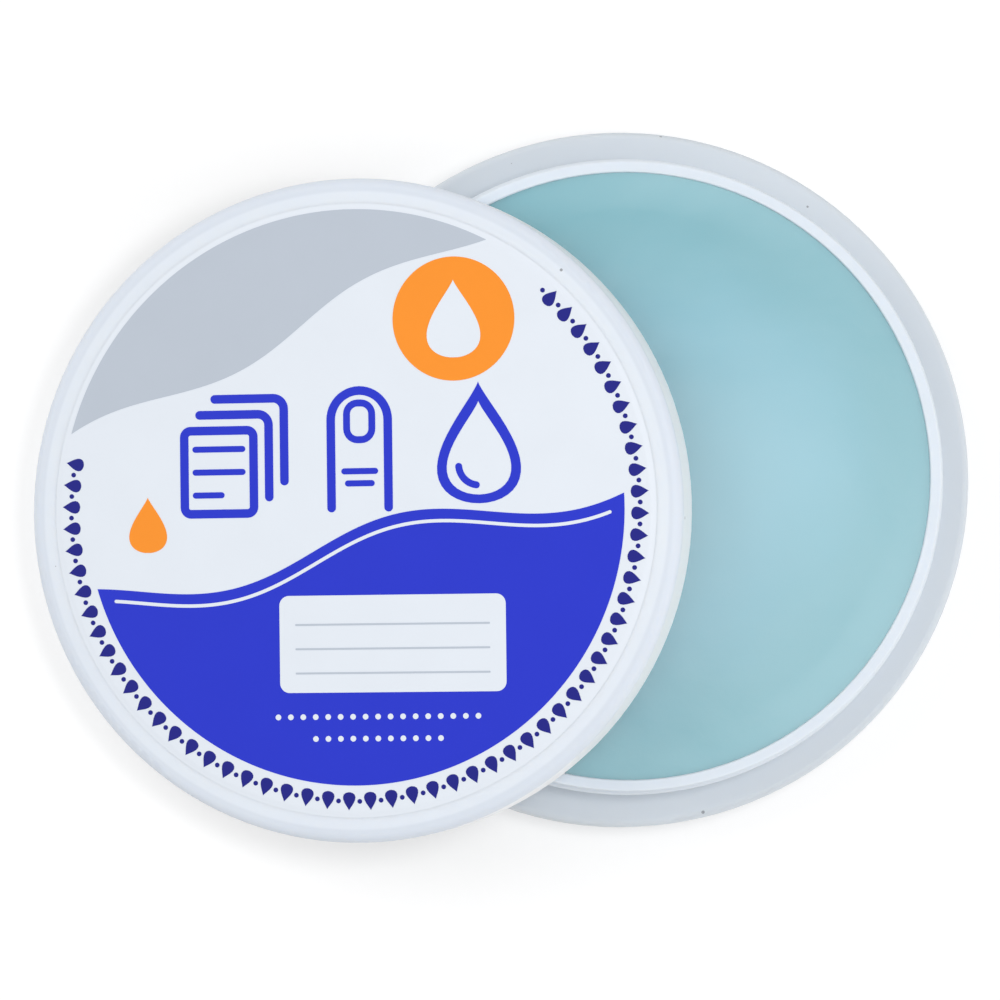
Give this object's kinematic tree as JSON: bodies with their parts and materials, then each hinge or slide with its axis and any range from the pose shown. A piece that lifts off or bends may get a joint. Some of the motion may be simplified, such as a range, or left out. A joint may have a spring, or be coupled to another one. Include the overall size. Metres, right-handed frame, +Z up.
{
  "type": "finger moistener",
  "caption": "Low round plastic pot of firm moistening paste for turning pages, open, with its press-on labelled lid put down leaning on the rim.",
  "frame": {"origin": "on the pot's axis, in the plane of its foot ring, which stands on the table", "axes": "+Z up along the pot's axis; the lid lies on the -X side and leans on the rim towards +X"},
  "size_m": [0.0788, 0.0586, 0.0185],
  "materials": {
    "white_plastic": "smooth moulded polypropylene, white, slightly translucent",
    "paste": "smooth, slightly greasy, pale teal",
    "label_film": "satin printed film"
  },
  "bodies": {
    "pot": {"pot_body": "white_plastic", "paste": "paste"},
    "lid": {"lid_shell": "white_plastic", "lid_label": "label_film"}
  },
  "joints": [
    {"name": "lid_lift", "type": "slide", "parent": "pot", "child": "lid", "axis": [0, 0, 1], "range_m": [0, 0.04]}
  ]
}
